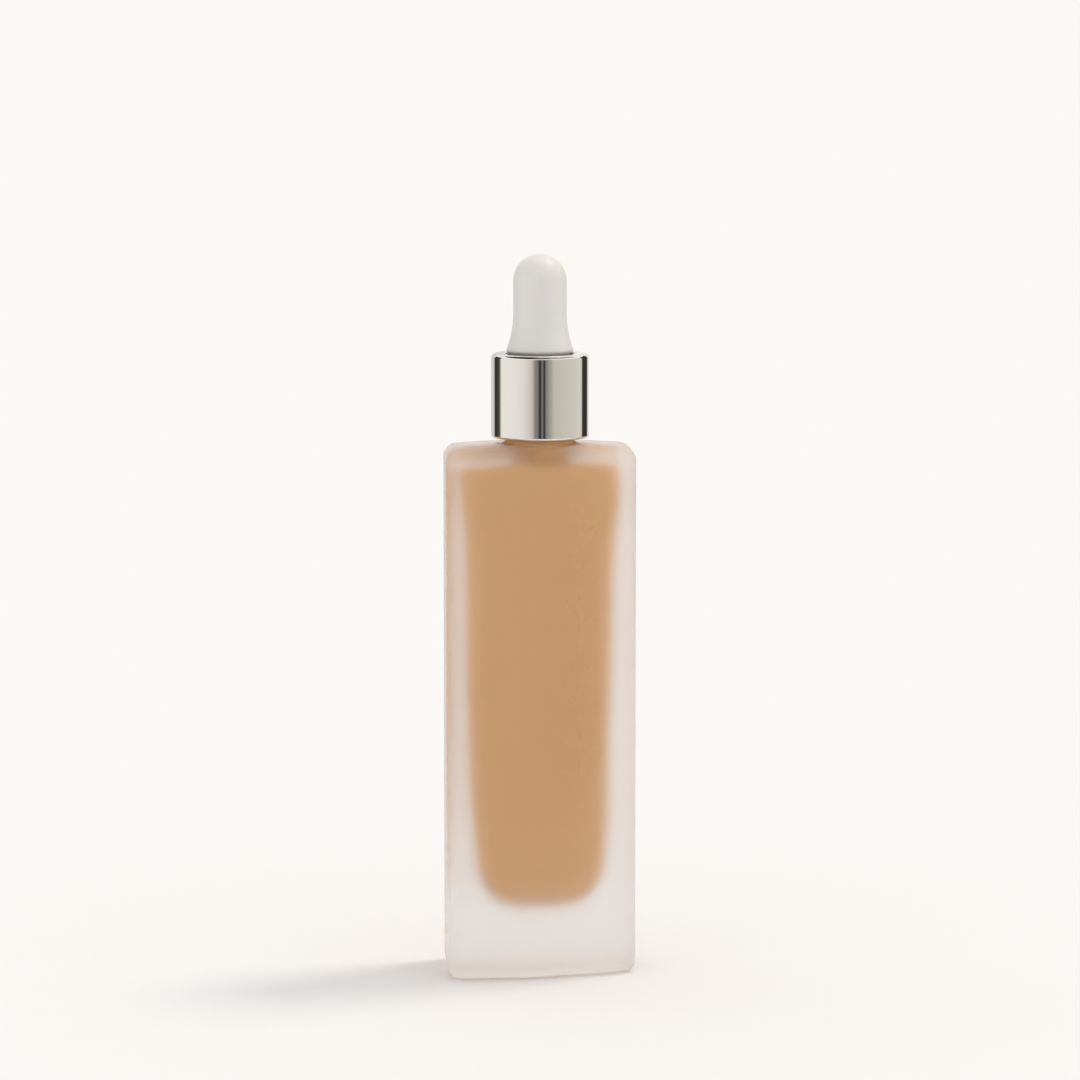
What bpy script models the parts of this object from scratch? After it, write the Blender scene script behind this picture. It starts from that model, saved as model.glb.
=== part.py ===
"""Foundation bottle with a dropper: a thick-walled glass bottle, a plated collar and a rubber bulb.

+Z is up and the front faces -Y. The origin is on the neck's axis, on the surface the bottle stands on.
Lengths are in metres: MM turns millimetres into metres.
"""

import math

import bmesh
import bpy
from mathutils import Vector

MM = 0.001

# Driving dimensions. Heights are measured from the surface the bottle stands on.
TOTAL_HEIGHT = 147.8 * MM
BODY_WIDTH = 38.9 * MM
BODY_DEPTH = 23.6 * MM
SHOULDER_TOP = 109.4 * MM
COLLAR_BOTTOM = 110.4 * MM
COLLAR_TOP = 127.6 * MM
COLLAR_RADIUS = 10.0 * MM
BULB_RADIUS = 5.45 * MM
CAVITY_FLOOR = 13.9 * MM
CLEARANCE = 0.3 * MM

# Glass body. The front has a flat left part, a soft upright ridge, and a facet that slopes back to the right.
RIDGE_X = -3.6 * MM
FACET_ANGLE = math.radians(15)
CORNER_RADIUS = 2.6 * MM
SMALLEST_CORNER = 0.3 * MM
RIDGE_RADIUS = 10.0 * MM
HEEL_RADIUS = 2.4 * MM
SHOULDER_RADIUS = 2.6 * MM
SHOULDER_SLOPE = math.radians(4.3)
NECK_FILLET = 0.8 * MM

# Cavity: the glass left around it, and how its left and right sides swell out (height, left, right, in
# millimetres) below the shoulder and draw in towards the floor.
LEFT_WALL = 3.9 * MM
RIGHT_WALL = 5.3 * MM
FACE_WALL = 4.2 * MM
CAVITY_CORNER = 4.0 * MM
CAVITY_CEILING = 105.8 * MM
CEILING_RADIUS = 1.5 * MM
FLOOR_ROUNDING = (0.68, 0.8)
CAVITY_SWELL = ((23.5, -2.1, -1.35), (30, -1.4, -0.8), (36, -0.85, -0.6), (46, -0.4, -0.6), (60, 0.0, 0.0),
                (80, 0.1, 0.3), (89, 0.25, 0.7), (95, 0.7, 1.5), (99, 1.1, 1.8), (103.4, 1.5, 1.5))
FILL_LEVEL = 110.8 * MM

# Neck and thread.
NECK_RADIUS = 7.1 * MM
NECK_TOP = 122.0 * MM
BORE_RADIUS = 5.2 * MM
RIM_RADIUS = 0.5 * MM
THREAD_PITCH = 3.175 * MM
THREAD_TURNS = 1.5
THREAD_BOTTOM = 113.0 * MM
THREAD_HEIGHT = 0.8 * MM
THREAD_ROOT_WIDTH = 1.6 * MM
THREAD_CREST_WIDTH = 0.8 * MM
THREAD_BITE = 0.35 * MM
THREAD_END_SHARE = 0.15
THREAD_RUN_STEPS = 3

# Collar and its threaded insert.
SHELL_WALL = 0.45 * MM
SHELL_RIM_RADIUS = 0.7 * MM
SHELL_EDGE_RADIUS = 0.2 * MM
SHELL_HEM = 0.5 * MM
INSERT_WALL = 0.65 * MM
INSERT_CEILING = 1.0 * MM
INSERT_THREAD_HEIGHT = 0.35 * MM
INSERT_LIFT = 0.8 * MM
INSERT_EDGE_RADIUS = 0.2 * MM
COLLAR_HOLE = 7.15 * MM

# Bulb. Its foot is a flange under the collar, and it grips the pipette's bead between two heights.
BULB_SKIRT_RADIUS = 6.85 * MM
BULB_FLARE_FOOT = 0.5 * MM
BULB_FLARE_HEIGHT = 7.5 * MM
BULB_FLANGE_RADIUS = 8.2 * MM
BULB_FLANGE = 1.25 * MM
BULB_EDGE_RADIUS = 0.2 * MM
BULB_WALL = 1.3 * MM
BEAD_ROOM_HEIGHT = 4.5 * MM
BEAD_ROOM_TAPER = 0.6 * MM
BEAD_ROOM_ABOVE = 0.5 * MM

# Washer and wiper.
WASHER_RADIUS = 8.1 * MM
WASHER_THICKNESS = 0.6 * MM
WASHER_EDGE_RADIUS = 0.15 * MM
WIPER_FLANGE = 0.8 * MM
WIPER_FLANGE_RADIUS = 6.8 * MM
WIPER_EDGE_RADIUS = 0.3 * MM
WIPER_LENGTH = 9.3 * MM
WIPER_WALL = 0.6 * MM
WIPER_CHAMFER = (0.5 * MM, 0.8 * MM)
WIPER_LIP = 0.6 * MM

# Pipette. PIPETTE_PLAY is the room that each hole leaves round it.
PIPETTE_RADIUS = 3.0 * MM
PIPETTE_PLAY = 0.4 * MM
PIPETTE_WALL = 0.9 * MM
PIPETTE_TIP = 17.4 * MM
PIPETTE_TIP_RADIUS = 1.5 * MM
PIPETTE_TIP_WALL = 0.6 * MM
PIPETTE_TIP_SWELL = 0.3 * MM
PIPETTE_TAPER = 12.0 * MM
PIPETTE_TOP = 132.0 * MM
PIPETTE_EDGE_RADIUS = 0.3 * MM
PIPETTE_BEAD = 0.5 * MM
BEAD_BELOW_TOP = 3.0 * MM
BEAD_LENGTH = 1.4 * MM
BEAD_ROUNDING = 0.4 * MM

# How finely rounds are drawn.
CORNER_STEPS = 3
SIDE_SPLITS = (6, 4, 3, 4, 3)
ARC_STEPS = 4
TURNED_STEPS = 36
COLLAR_STEPS = 44
PIPETTE_STEPS = 20
THREAD_STEPS = 28
AXIS_WIDTH = 0.01 * MM

# The stack under the collar's top, each piece CLEARANCE above the one below it.
WIPER_BASE = NECK_TOP + CLEARANCE
WASHER_BASE = WIPER_BASE + WIPER_FLANGE + CLEARANCE
FLANGE_BASE = WASHER_BASE + WASHER_THICKNESS + CLEARANCE
INSERT_TOP = COLLAR_TOP - SHELL_WALL - CLEARANCE
PIPETTE_HOLE = PIPETTE_RADIUS + PIPETTE_PLAY


def clear_scene():
    for thing in list(bpy.data.objects):
        bpy.data.objects.remove(thing, do_unlink=True)


def finish_of(name, colour, roughness, metallic=0.0, transmission=0.0):
    material = bpy.data.materials.new(name)
    material.use_nodes = True
    shader = material.node_tree.nodes["Principled BSDF"]
    shader.inputs["Base Color"].default_value = (*colour, 1)
    shader.inputs["Roughness"].default_value = roughness
    shader.inputs["Metallic"].default_value = metallic
    shader.inputs["Transmission Weight"].default_value = transmission
    return material


def holder(name, height, parent=None):
    """An empty on the neck's axis, which carries the pieces that move together."""
    empty = bpy.data.objects.new(name, None)
    bpy.context.scene.collection.objects.link(empty)
    empty.parent = parent
    empty.location.z = height - (parent.matrix_world.translation.z if parent else 0)
    bpy.context.view_layer.update()
    return empty


def piece(name, shape, material, parent, base=0.0):
    """Turns a bmesh into an object that stands at height base and rides on its parent."""
    bmesh.ops.remove_doubles(shape, verts=shape.verts, dist=0.001 * MM)
    bmesh.ops.recalc_face_normals(shape, faces=shape.faces)
    if shape.calc_volume(signed=True) < 0:
        bmesh.ops.reverse_faces(shape, faces=shape.faces)
    mesh = bpy.data.meshes.new(name)
    shape.to_mesh(mesh)
    shape.free()
    mesh.shade_smooth()
    mesh.set_sharp_from_angle(angle=math.radians(35))
    mesh.materials.append(material)
    made = bpy.data.objects.new(name, mesh)
    bpy.context.scene.collection.objects.link(made)
    made.parent = parent
    made.location.z = base - parent.matrix_world.translation.z
    return made


def rounded(corners, steps):
    """A closed outline through corners (x, y, radius), each replaced by an arc of that radius."""
    outline = []
    earlier = corners[-1:] + corners[:-1]
    later = corners[1:] + corners[:1]
    for before, (x, y, radius), after in zip(earlier, corners, later):
        corner = Vector((x, y))
        if radius == 0:
            outline.append(corner)
            continue
        back = (Vector(before[:2]) - corner).normalized()
        ahead = (Vector(after[:2]) - corner).normalized()
        half = back.angle(ahead) / 2
        centre = corner + (back + ahead).normalized() * radius / math.sin(half)
        start = corner + back * radius / math.tan(half) - centre
        turn = start.angle_signed(corner + ahead * radius / math.tan(half) - centre)
        for step in range(steps + 1):
            angle = -turn * step / steps
            outline.append(centre + Vector((start.x * math.cos(angle) - start.y * math.sin(angle),
                                            start.x * math.sin(angle) + start.y * math.cos(angle))))
    return outline


def loft(loops):
    """Skins a row of closed loops, all with the same number of points, and caps both ends."""
    shape = bmesh.new()
    rings = [[shape.verts.new(point) for point in loop] for loop in loops]
    for lower, upper in zip(rings, rings[1:]):
        for i in range(len(lower)):
            j = (i + 1) % len(lower)
            shape.faces.new((lower[i], lower[j], upper[j], upper[i]))
    shape.faces.new(rings[0])
    shape.faces.new(rings[-1])
    return shape


def turned(profile, steps=TURNED_STEPS):
    """Spins a closed profile of (radius, height) points about the neck's axis."""
    shape = bmesh.new()
    points = [shape.verts.new((radius, 0, height)) for radius, height in profile]
    edges = [shape.edges.new((a, b)) for a, b in zip(points, points[1:] + points[:1])
             if a.co.x + b.co.x > AXIS_WIDTH]
    bmesh.ops.spin(shape, geom=points + edges, cent=(0, 0, 0), axis=(0, 0, 1), angle=math.tau, steps=steps)
    return shape


def thread(name, wall_radius, crest_radius, bottom, parent):
    """A raised helix that starts inside the wall, rises to crest_radius and runs out again at both ends."""
    outward = 1 if crest_radius > wall_radius else -1
    root = wall_radius - outward * THREAD_BITE
    count = round(THREAD_TURNS * THREAD_STEPS)
    loops = []
    for step in range(count + 1):
        angle = math.tau * step / THREAD_STEPS
        centre = bottom + THREAD_PITCH * step / THREAD_STEPS
        run = min(1, THREAD_END_SHARE + min(step, count - step) / THREAD_RUN_STEPS)
        crest = root + (crest_radius - root) * run
        section = ((root, -THREAD_ROOT_WIDTH), (crest, -THREAD_CREST_WIDTH),
                   (crest, THREAD_CREST_WIDTH), (root, THREAD_ROOT_WIDTH))
        loops.append([(radius * math.cos(angle), radius * math.sin(angle), centre + width / 2)
                      for radius, width in section])
    helix = piece(name, loft(loops), bpy.data.materials["helper"], parent)
    helix.hide_render = True
    helix.display_type = "WIRE"
    return helix


def join(target, other):
    union = target.modifiers.new("thread", "BOOLEAN")
    union.operation = "UNION"
    union.object = other


def plan(left, right, face, corner):
    """The body's outline seen from above, moved in from the left side, the right side and both faces."""
    low = -BODY_WIDTH / 2 + left
    high = BODY_WIDTH / 2 - right
    front = -BODY_DEPTH / 2 + face
    ridge = RIDGE_X - face * math.tan(FACET_ANGLE / 2)
    facet_end = front + (high - ridge) * math.tan(FACET_ANGLE)
    radius = max(corner, SMALLEST_CORNER)
    arcs = rounded([(high, -front, radius), (low, -front, radius), (low, front, radius),
                    (ridge, front, RIDGE_RADIUS), (high, facet_end, radius)], CORNER_STEPS)
    outline = []
    for corner_number, splits in enumerate(SIDE_SPLITS):
        first = corner_number * (CORNER_STEPS + 1)
        last = first + CORNER_STEPS
        outline += arcs[first:last + 1]
        following = arcs[(last + 1) % len(arcs)]
        outline += [arcs[last].lerp(following, split / splits) for split in range(1, splits)]
    return outline


def circle(radius, like):
    """A circle about the neck's axis with its points in the same directions as those of another outline."""
    return [point.normalized() * radius for point in like]


def raised(outline, height, crowned=True):
    """Lifts an outline to a height. A crowned one falls away from the neck at the shoulder's slope."""
    fall = math.tan(SHOULDER_SLOPE) if crowned else 0
    return [(point.x, point.y, height - fall * max(point.length - NECK_RADIUS, 0)) for point in outline]


def quarter(steps=ARC_STEPS):
    """(cosine, sine) along a quarter circle, from level to upright."""
    return [(math.cos(math.pi / 2 * i / steps), math.sin(math.pi / 2 * i / steps)) for i in range(steps + 1)]


def outer_loops():
    """The glass from the foot, up its sides, over the shoulder and up the neck to the rim."""
    loops = []
    for cosine, sine in quarter():
        inset = HEEL_RADIUS * (1 - sine)
        edge = plan(inset, inset, inset, CORNER_RADIUS - inset)
        loops.append(raised(edge, HEEL_RADIUS * (1 - cosine), False))
    for cosine, sine in quarter():
        inset = SHOULDER_RADIUS * (1 - cosine)
        edge = plan(inset, inset, inset, CORNER_RADIUS - inset)
        loops.append(raised(edge, SHOULDER_TOP - SHOULDER_RADIUS * (1 - sine)))
    foot = circle(NECK_RADIUS + NECK_FILLET, edge)
    loops.append(raised([a.lerp(b, 0.5) for a, b in zip(edge, foot)], SHOULDER_TOP))
    loops += [raised(circle(NECK_RADIUS + NECK_FILLET * (1 - sine), edge),
                     SHOULDER_TOP + NECK_FILLET * (1 - cosine), False) for cosine, sine in quarter(2)]
    loops += [raised(circle(NECK_RADIUS - RIM_RADIUS * (1 - cosine), edge),
                     NECK_TOP - RIM_RADIUS * (1 - sine), False) for cosine, sine in quarter(2)]
    return loops


def swollen(swell, gap):
    """The cavity's outline, wider by the two swells at its left and right, with gap taken off all round."""
    left, right = (side * MM for side in swell)
    return plan(LEFT_WALL - left + gap, RIGHT_WALL - right + gap, FACE_WALL + gap, CAVITY_CORNER - gap)


def cavity_loops(gap):
    """The cavity's wall from its floor to its ceiling and into the neck's bore, drawn in by gap."""
    loops = []
    lowest = swollen(CAVITY_SWELL[0][1:], gap)
    for cosine, sine in quarter():
        wide = 1 - FLOOR_ROUNDING[0] * (1 - sine)
        deep = 1 - FLOOR_ROUNDING[1] * (1 - sine)
        height = CAVITY_FLOOR + (CAVITY_SWELL[0][0] * MM - CAVITY_FLOOR) * (1 - cosine) + gap * cosine
        loops.append([(point.x * wide, point.y * deep, height) for point in lowest])
    for height, *swell in CAVITY_SWELL[1:]:
        loops.append(raised(swollen(swell, gap), height * MM, False))
    for cosine, sine in quarter(3):
        inset = CEILING_RADIUS * (1 - cosine)
        height = CAVITY_CEILING - CEILING_RADIUS * (1 - sine) - gap
        ceiling = swollen(CAVITY_SWELL[-1][1:], gap + inset)
        loops.append(raised(ceiling, height))
    loops += [raised(circle(BORE_RADIUS - gap + NECK_FILLET * (1 - sine), ceiling),
                     CAVITY_CEILING - gap + NECK_FILLET * (1 - cosine), False) for cosine, sine in quarter(2)]
    return loops


def glass_bottle(parent):
    """One skin: up the outside, over the rim, down the bore and round the cavity to its floor."""
    loops = outer_loops()
    rim = [Vector(point[:2]) for point in loops[-1]]
    loops += [raised(circle(BORE_RADIUS + RIM_RADIUS * (1 - sine), rim),
                     NECK_TOP - RIM_RADIUS * (1 - cosine), False) for cosine, sine in quarter(2)]
    loops += reversed(cavity_loops(0))
    material = finish_of("acid_etched_glass", (0.78, 0.75, 0.72), 0.45, transmission=0.9)
    bottle = piece("glass_bottle", loft(loops), material, parent)
    join(bottle, thread("glass_thread", NECK_RADIUS, NECK_RADIUS + THREAD_HEIGHT, THREAD_BOTTOM, parent))


def foundation_fill(parent):
    """The liquid, which reaches into the neck, with the channel that the pipette stands in."""
    loops = cavity_loops(CLEARANCE)
    bore = [Vector(point[:2]) for point in loops[-1]]
    channel = circle(PIPETTE_HOLE, bore)
    loops += [raised(bore, FILL_LEVEL, False), raised(channel, FILL_LEVEL, False),
              raised(channel, PIPETTE_TIP - 2 * CLEARANCE, False)]
    material = finish_of("foundation_emulsion", (0.55, 0.31, 0.15), 0.35)
    piece("foundation_fill", loft(loops), material, parent)


def neck_wiper(parent):
    """A plug in the neck whose lip wipes the pipette, with a flange that sits on the rim."""
    tube = BORE_RADIUS - CLEARANCE
    bore = tube - WIPER_WALL
    narrow, rise = WIPER_CHAMFER
    bottom = -WIPER_LENGTH
    profile = rounded([(bore, WIPER_FLANGE, WIPER_EDGE_RADIUS),
                       (WIPER_FLANGE_RADIUS, WIPER_FLANGE, WIPER_EDGE_RADIUS),
                       (WIPER_FLANGE_RADIUS, 0, 0), (tube, 0, 0), (tube, bottom + rise, 0),
                       (tube - narrow, bottom, 0), (PIPETTE_HOLE, bottom, 0),
                       (PIPETTE_HOLE, bottom + WIPER_LIP, 0), (bore, bottom + 2 * WIPER_LIP, 0)], 2)
    material = finish_of("natural_polyethylene", (0.85, 0.85, 0.83), 0.4)
    piece("neck_wiper", turned(profile), material, parent, WIPER_BASE)


def sealing_washer(parent):
    profile = rounded([(PIPETTE_HOLE, 0, 0), (WASHER_RADIUS, 0, WASHER_EDGE_RADIUS),
                       (WASHER_RADIUS, WASHER_THICKNESS, WASHER_EDGE_RADIUS),
                       (PIPETTE_HOLE, WASHER_THICKNESS, 0)], 2)
    material = finish_of("foamed_polyethylene", (0.9, 0.9, 0.88), 0.6)
    piece("sealing_washer", turned(profile), material, parent, WASHER_BASE)


def pipette_tube(parent):
    """A glass tube, drawn down to a fine tip, with a bead near its top that the bulb grips."""
    bore = PIPETTE_RADIUS - PIPETTE_WALL
    length = PIPETTE_TOP - PIPETTE_TIP
    bead = length - BEAD_BELOW_TOP
    profile = rounded([(PIPETTE_TIP_RADIUS - PIPETTE_TIP_WALL, 0, 0),
                       (PIPETTE_TIP_RADIUS, 0, PIPETTE_EDGE_RADIUS),
                       (PIPETTE_TIP_RADIUS + PIPETTE_TIP_SWELL, PIPETTE_TAPER / 3, 0),
                       (PIPETTE_RADIUS, PIPETTE_TAPER, 0), (PIPETTE_RADIUS, bead, 0),
                       (PIPETTE_RADIUS + PIPETTE_BEAD, bead + BEAD_LENGTH / 2, BEAD_ROUNDING),
                       (PIPETTE_RADIUS, bead + BEAD_LENGTH, 0),
                       (PIPETTE_RADIUS, length, PIPETTE_EDGE_RADIUS),
                       (bore, length, PIPETTE_EDGE_RADIUS), (bore, PIPETTE_TAPER, 0)], 2)
    material = finish_of("clear_glass", (0.95, 0.96, 0.96), 0.03, transmission=1.0)
    piece("pipette_tube", turned(profile, PIPETTE_STEPS), material, parent, PIPETTE_TIP)


def collar_shell(parent):
    """A thin drawn metal cup with a rounded top edge and a rolled lower edge."""
    height = COLLAR_TOP - COLLAR_BOTTOM
    inner = COLLAR_RADIUS - SHELL_WALL
    profile = rounded([(COLLAR_HOLE, height - SHELL_WALL, 0), (COLLAR_HOLE, height, SHELL_EDGE_RADIUS),
                       (COLLAR_RADIUS, height, SHELL_RIM_RADIUS), (COLLAR_RADIUS, SHELL_HEM, 0),
                       (COLLAR_RADIUS, 0, SHELL_EDGE_RADIUS), (inner, 0, SHELL_EDGE_RADIUS),
                       (inner, height - SHELL_WALL, 0)], 3)
    material = finish_of("bright_plating", (0.86, 0.86, 0.86), 0.06, metallic=1.0)
    piece("collar_shell", turned(profile, COLLAR_STEPS), material, parent, COLLAR_BOTTOM)


def collar_thread_insert(parent):
    """The moulded cap inside the shell, which screws on to the neck and holds the bulb's flange down."""
    base = COLLAR_BOTTOM + INSERT_LIFT
    outer = COLLAR_RADIUS - SHELL_WALL - CLEARANCE
    inner = outer - INSERT_WALL
    height = INSERT_TOP - base
    profile = rounded([(COLLAR_HOLE, height - INSERT_CEILING, 0), (COLLAR_HOLE, height, 0),
                       (outer, height, INSERT_EDGE_RADIUS), (outer, 0, 0), (inner, 0, 0),
                       (inner, height - INSERT_CEILING, 0)], 1)
    material = finish_of("moulded_polypropylene", (0.88, 0.88, 0.86), 0.35)
    insert = piece("collar_thread_insert", turned(profile), material, parent, base)
    join(insert, thread("insert_thread", inner, inner - INSERT_THREAD_HEIGHT,
                        THREAD_BOTTOM + THREAD_PITCH / 2, parent))


def dropper_bulb(parent):
    """A hollow teat: a round-topped finger tube that flares to the collar, with a flange under it."""
    height = TOTAL_HEIGHT - FLANGE_BASE
    collar = COLLAR_TOP - FLANGE_BASE
    room_top = PIPETTE_TOP - FLANGE_BASE + BEAD_ROOM_ABOVE
    room_floor = room_top - BEAD_ROOM_HEIGHT
    bore = BULB_RADIUS - BULB_WALL
    bead_room = PIPETTE_RADIUS + PIPETTE_BEAD + CLEARANCE
    flare = [(BULB_RADIUS + (BULB_SKIRT_RADIUS - BULB_RADIUS) * (1 - t) ** 2,
              collar + BULB_FLARE_FOOT + BULB_FLARE_HEIGHT * t) for t in (0, 0.25, 0.5, 0.75, 1)]
    dome = [(BULB_RADIUS * cosine, height - BULB_RADIUS * (1 - sine)) for cosine, sine in quarter(6)]
    roof = [(bore * sine, height - BULB_WALL - bore * (1 - cosine)) for cosine, sine in quarter(4)]
    foot = rounded([(PIPETTE_HOLE, 0, 0), (BULB_FLANGE_RADIUS, 0, BULB_EDGE_RADIUS),
                    (BULB_FLANGE_RADIUS, BULB_FLANGE, BULB_EDGE_RADIUS),
                    (BULB_SKIRT_RADIUS, BULB_FLANGE, 0)], 1)
    profile = [*map(tuple, foot), *flare, *dome, *roof, (bore, room_top + (bore - bead_room)),
               (bead_room, room_top), (bead_room, room_floor), (PIPETTE_HOLE, room_floor - BEAD_ROOM_TAPER)]
    material = finish_of("white_rubber", (0.80, 0.80, 0.78), 0.35)
    piece("dropper_bulb", turned(profile), material, parent, FLANGE_BASE)


def main():
    clear_scene()
    finish_of("helper", (0.5, 0.5, 0.5), 0.5)
    bottle = holder("bottle_body", 0)
    washer = holder("washer_body", WASHER_BASE, bottle)
    pipette = holder("pipette_body", FLANGE_BASE, washer)
    collar = holder("collar_body", COLLAR_BOTTOM, pipette)
    bulb = holder("bulb_body", COLLAR_TOP, collar)
    glass_bottle(bottle)
    foundation_fill(bottle)
    neck_wiper(bottle)
    sealing_washer(washer)
    pipette_tube(pipette)
    collar_shell(collar)
    collar_thread_insert(collar)
    dropper_bulb(bulb)


main()
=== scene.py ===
import math

import bmesh
import bpy
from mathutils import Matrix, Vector
from mathutils.bvhtree import BVHTree


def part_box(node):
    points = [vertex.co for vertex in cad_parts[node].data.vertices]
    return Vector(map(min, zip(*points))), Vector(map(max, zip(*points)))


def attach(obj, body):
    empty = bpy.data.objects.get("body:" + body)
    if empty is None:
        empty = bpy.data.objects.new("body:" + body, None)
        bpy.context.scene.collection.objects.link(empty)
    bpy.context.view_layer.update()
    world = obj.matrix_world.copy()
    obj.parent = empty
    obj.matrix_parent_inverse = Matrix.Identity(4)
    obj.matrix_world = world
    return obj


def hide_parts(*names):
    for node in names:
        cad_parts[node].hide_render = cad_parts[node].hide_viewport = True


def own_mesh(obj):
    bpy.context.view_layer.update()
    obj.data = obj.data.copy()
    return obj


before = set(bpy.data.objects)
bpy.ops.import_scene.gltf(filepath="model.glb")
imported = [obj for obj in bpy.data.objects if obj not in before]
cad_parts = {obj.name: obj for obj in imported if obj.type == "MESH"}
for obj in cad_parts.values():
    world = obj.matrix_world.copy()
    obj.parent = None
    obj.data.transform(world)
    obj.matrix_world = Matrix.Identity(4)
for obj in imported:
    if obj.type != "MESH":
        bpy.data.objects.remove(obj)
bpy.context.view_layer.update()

# Lengths below are in millimetres; mm turns them into Blender's metres.
mm = 0.001

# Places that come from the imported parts.
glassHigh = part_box("glass_bottle")[1]
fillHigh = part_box("foundation_fill")[1]
wiperLow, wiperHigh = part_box("neck_wiper")
washerLow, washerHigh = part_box("sealing_washer")
pipetteLow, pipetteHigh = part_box("pipette_tube")
collarLow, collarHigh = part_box("collar_shell")
insertLow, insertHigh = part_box("collar_thread_insert")
bulbLow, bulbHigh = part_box("dropper_bulb")


def linear(hexCode):
    # sRGB hex to the linear colour that shaders take
    parts = [int(hexCode[i:i + 2], 16) / 255 for i in (1, 3, 5)]
    return tuple(p / 12.92 if p <= 0.04045 else ((p + 0.055) / 1.055) ** 2.4 for p in parts) + (1.0,)


def addNode(tree, kind, settings=None, inputs=None, links=None):
    # one node: attributes, input values by name or number, and input links from other sockets
    node = tree.nodes.new(kind)
    for key, value in (settings or {}).items():
        setattr(node, key, value)
    for key, value in (inputs or {}).items():
        node.inputs[key].default_value = value
    for key, socket in (links or {}).items():
        tree.links.new(socket, node.inputs[key])
    return node


def calc(tree, operation, a, b):
    # a Math node of two values or sockets
    node = addNode(tree, "ShaderNodeMath", {"operation": operation})
    for i, value in enumerate((a, b)):
        if isinstance(value, (int, float)):
            node.inputs[i].default_value = value
        else:
            tree.links.new(value, node.inputs[i])
    return node.outputs[0]


def newMaterial(name, inputs=None):
    # a material with its shader, whose plain inputs are given, its output and its Object coordinates
    material = bpy.data.materials.new(name)
    material.use_nodes = True
    tree = material.node_tree
    tree.nodes.clear()
    shader = addNode(tree, "ShaderNodeBsdfPrincipled", inputs=inputs)
    addNode(tree, "ShaderNodeOutputMaterial", links={"Surface": shader.outputs[0]})
    place = addNode(tree, "ShaderNodeTexCoord").outputs["Object"]
    return material, tree, shader, place


def finishPiece(obj, body, standsFor=None):
    # the piece replaces an imported node, which is hidden, and rides on a body
    if standsFor:
        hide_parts(standsFor)
    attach(obj, body)
    print("piece", obj.name, "on", body, len(obj.data.polygons), "faces")


def meshObject(name, shape, material, sharp=40):
    # closes, cleans and smooths a bmesh, then makes it an object at the origin
    bmesh.ops.remove_doubles(shape, verts=shape.verts, dist=0.0005 * mm)
    bmesh.ops.recalc_face_normals(shape, faces=shape.faces)
    if shape.calc_volume(signed=True) < 0:
        bmesh.ops.reverse_faces(shape, faces=shape.faces)
    mesh = bpy.data.meshes.new(name)
    shape.to_mesh(mesh)
    shape.free()
    mesh.shade_smooth()
    mesh.set_sharp_from_angle(angle=math.radians(sharp))
    mesh.materials.append(material)
    obj = bpy.data.objects.new(name, mesh)
    bpy.context.scene.collection.objects.link(obj)
    return obj


def arc(steps):
    # cosine and sine along a quarter turn
    return [(math.cos(math.pi / 2 * i / steps), math.sin(math.pi / 2 * i / steps)) for i in range(steps + 1)]


def roundedLine(corners, steps, hold):
    # corners are (x, y, radius); each becomes an arc, with a point at hold past its ends to keep flats flat
    points = []
    earlier = corners[-1:] + corners[:-1]
    later = corners[1:] + corners[:1]
    for before, (x, y, radius), after in zip(earlier, corners, later):
        corner = Vector((x, y))
        back = (Vector(before[:2]) - corner).normalized()
        ahead = (Vector(after[:2]) - corner).normalized()
        if radius == 0:
            points.append([corner])
            continue
        half = back.angle(ahead) / 2
        centre = corner + (back + ahead).normalized() * radius / math.sin(half)
        reach = radius / math.tan(half)
        start = corner + back * reach - centre
        turn = start.angle_signed(corner + ahead * reach - centre)
        run = [corner + back * (reach + hold)]
        for step in range(steps + 1):
            angle = -turn * step / steps
            cosine, sine = math.cos(angle), math.sin(angle)
            turned = (start.x * cosine - start.y * sine, start.x * sine + start.y * cosine)
            run.append(centre + Vector(turned))
        run.append(corner + ahead * (reach + hold))
        points.append(run)
    return points


def loftSkin(loops, marks=None):
    # quads between closed loops of equal length, with a fan at each end; marks say how far a point rose
    shape = bmesh.new()
    raised = shape.verts.layers.float.new("raised")
    rings = [[shape.verts.new(point) for point in loop] for loop in loops]
    for loop, ring in zip(loops, rings):
        for point, vertex in zip(loop, ring):
            vertex[raised] = marks.get(id(point), 0) if marks else 0
    for lower, upper in zip(rings, rings[1:]):
        for i in range(len(lower)):
            j = (i + 1) % len(lower)
            shape.faces.new((lower[i], lower[j], upper[j], upper[i]))
    for ring in (rings[0], rings[-1]):
        middle = shape.verts.new(sum((v.co for v in ring), Vector()) / len(ring))
        for i in range(len(ring)):
            shape.faces.new((ring[i], ring[(i + 1) % len(ring)], middle))
    return shape


def turnedSkin(profile, steps):
    # a closed profile of (radius, height) in mm, turned about the neck's axis
    shape = bmesh.new()
    rings = []
    for radius, height in profile:
        if radius < 0.001:
            rings.append([shape.verts.new((0, 0, height * mm))] * steps)
            continue
        rings.append([shape.verts.new((radius * mm * math.cos(math.tau * i / steps),
                                       radius * mm * math.sin(math.tau * i / steps), height * mm))
                      for i in range(steps)])
    for one, two in zip(rings, rings[1:] + rings[:1]):
        for i in range(steps):
            j = (i + 1) % steps
            corners = list(dict.fromkeys((one[i], one[j], two[j], two[i])))
            if len(corners) > 2:
                shape.faces.new(corners)
    return shape


def turnedProfile(corners, steps=5, hold=0.06):
    # the rounded profile of a turned piece, in mm
    return [tuple(point) for run in roundedLine(corners, steps, hold) for point in run]


# The camera and the studio come first, because every look depends on them.

cameraSetup = {
    "lens": 156.7,
    "distance": 963,
    "aimHeight": 89.2,
    "pitch": 6.5,                 # degrees, looking down
    "azimuth": -3.0,              # degrees, a little from the left
}


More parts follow.
